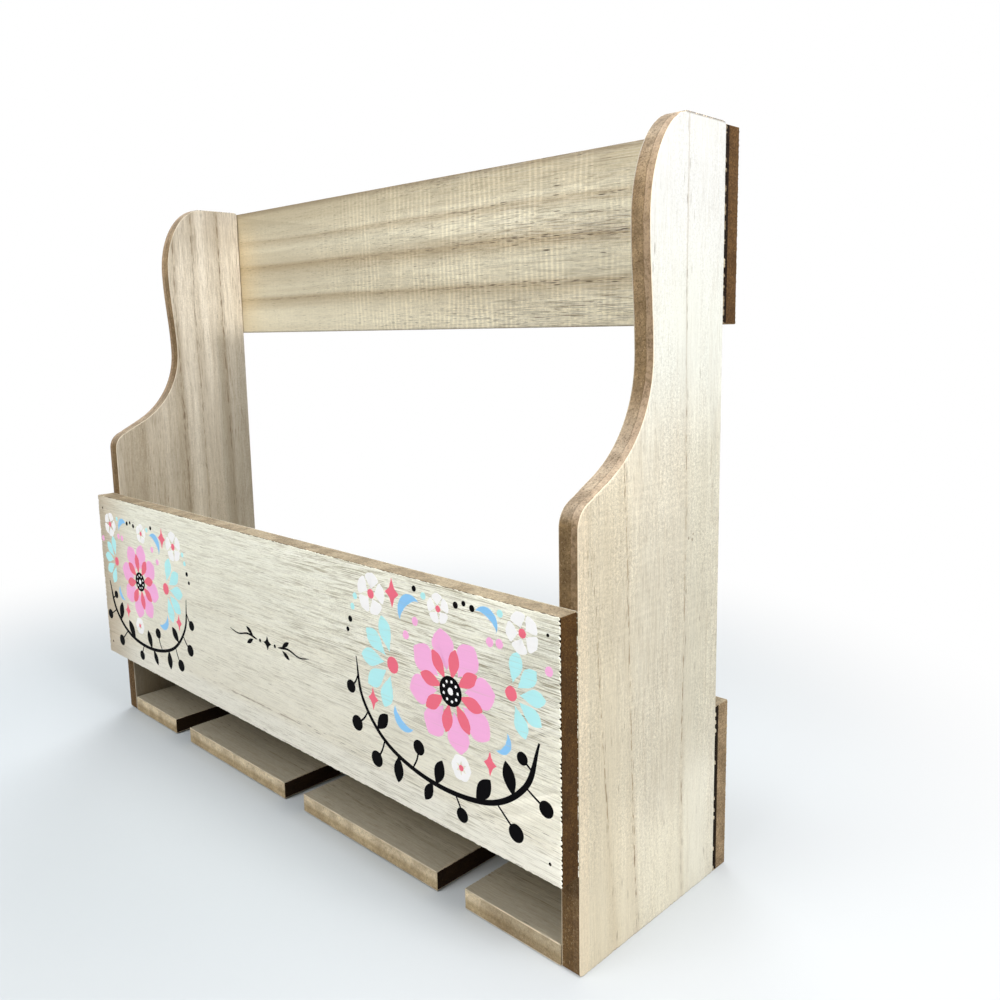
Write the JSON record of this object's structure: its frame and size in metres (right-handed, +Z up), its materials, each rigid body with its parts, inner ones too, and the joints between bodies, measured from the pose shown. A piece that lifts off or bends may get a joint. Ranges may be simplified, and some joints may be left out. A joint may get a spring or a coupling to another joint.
{
  "type": "wine bottle holder",
  "caption": "Open rack of veneered boards with S-shaped side panels: bottles stand behind a front board, and stemmed glasses hang by their feet in slots between the slats below.",
  "frame": {"origin": "middle of the rack's underside, at the centre of its overall box", "axes": "+Z up, +X along the rack's width to the right seen from the front, -Y out of the front board, +Y towards the wall"},
  "size_m": [0.375, 0.116, 0.3175],
  "materials": {
    "side_veneer": "matte",
    "front_veneer": "matte",
    "back_veneer": "matte",
    "shelf_veneer": "matte",
    "slat_veneer": "matte",
    "pin_steel": "satin",
    "hanger_steel": "satin",
    "print_white": "matte",
    "print_pink": "matte",
    "print_coral": "matte",
    "print_aqua": "matte",
    "print_blue": "matte",
    "print_black": "matte"
  },
  "bodies": {
    "root": {"side_panel_left": "side_veneer", "side_panel_right": "side_veneer", "front_board": "front_veneer", "upper_back_board": "back_veneer", "lower_back_board": "back_veneer", "bottle_shelf": "shelf_veneer", "slat_left_outer": "slat_veneer", "slat_left_inner": "slat_veneer", "slat_right_inner": "slat_veneer", "slat_right_outer": "slat_veneer", "front_board_pin_1": "pin_steel", "front_board_pin_2": "pin_steel", "front_board_pin_3": "pin_steel", "front_board_pin_4": "pin_steel", "upper_back_board_pin_1": "pin_steel", "upper_back_board_pin_2": "pin_steel", "upper_back_board_pin_3": "pin_steel", "upper_back_board_pin_4": "pin_steel", "lower_back_board_pin_1": "pin_steel", "lower_back_board_pin_2": "pin_steel", "lower_back_board_pin_3": "pin_steel", "lower_back_board_pin_4": "pin_steel", "shelf_pin_1": "pin_steel", "shelf_pin_2": "pin_steel", "shelf_pin_3": "pin_steel", "shelf_pin_4": "pin_steel", "slat_pin_1": "pin_steel", "slat_pin_2": "pin_steel", "slat_pin_3": "pin_steel", "slat_pin_4": "pin_steel", "slat_pin_5": "pin_steel", "slat_pin_6": "pin_steel", "slat_pin_7": "pin_steel", "slat_pin_8": "pin_steel", "hanger_left": "hanger_steel", "hanger_right": "hanger_steel", "hanger_nail_1": "hanger_steel", "hanger_nail_2": "hanger_steel", "hanger_nail_3": "hanger_steel", "hanger_nail_4": "hanger_steel"}
  },
  "joints": []
}
